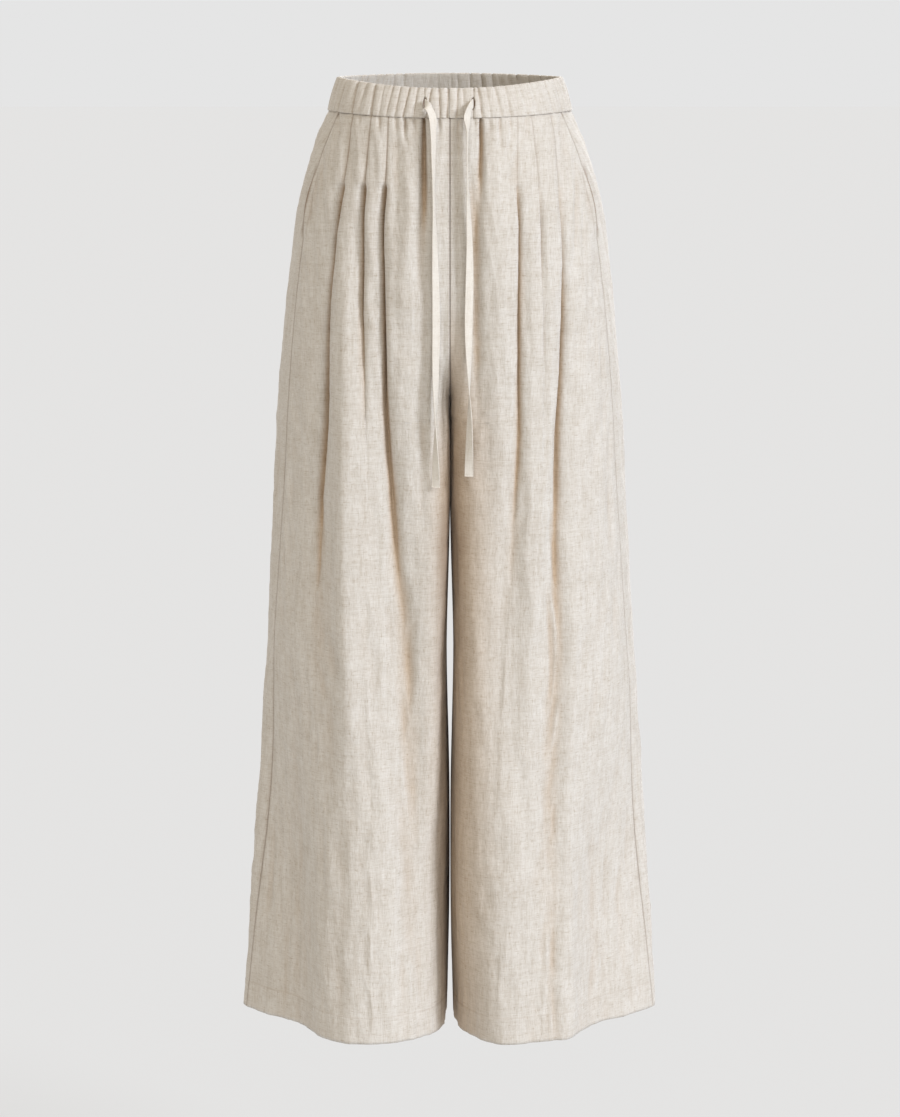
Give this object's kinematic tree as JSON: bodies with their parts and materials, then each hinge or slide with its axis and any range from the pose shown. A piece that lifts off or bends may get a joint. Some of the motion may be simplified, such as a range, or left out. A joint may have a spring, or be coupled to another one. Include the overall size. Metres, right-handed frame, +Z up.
{
  "type": "drawstring trousers",
  "caption": "Wide-leg linen trousers, filled out as worn, with tucked fronts, side-seam pockets, a gathered elastic waistband and a flat drawstring.",
  "frame": {"origin": "the middle of the waistband's height on the wearer's vertical axis, where the waist holds the garment", "axes": "+Z up towards the waist, -Y the wearer's front, +X the wearer's left"},
  "size_m": [0.467, 0.2642, 1.0376],
  "materials": {
    "linen": "plain weave, matte",
    "band": "plain weave, matte",
    "facing": "plain weave, matte",
    "tape": "folded tape, matte"
  },
  "bodies": {
    "root": {"waistband": "band", "left_front": "linen", "right_front": "linen", "left_back": "linen", "right_back": "linen", "left_pocket_facing": "facing", "right_pocket_facing": "facing", "left_drawstring": "tape", "right_drawstring": "tape"}
  },
  "joints": []
}
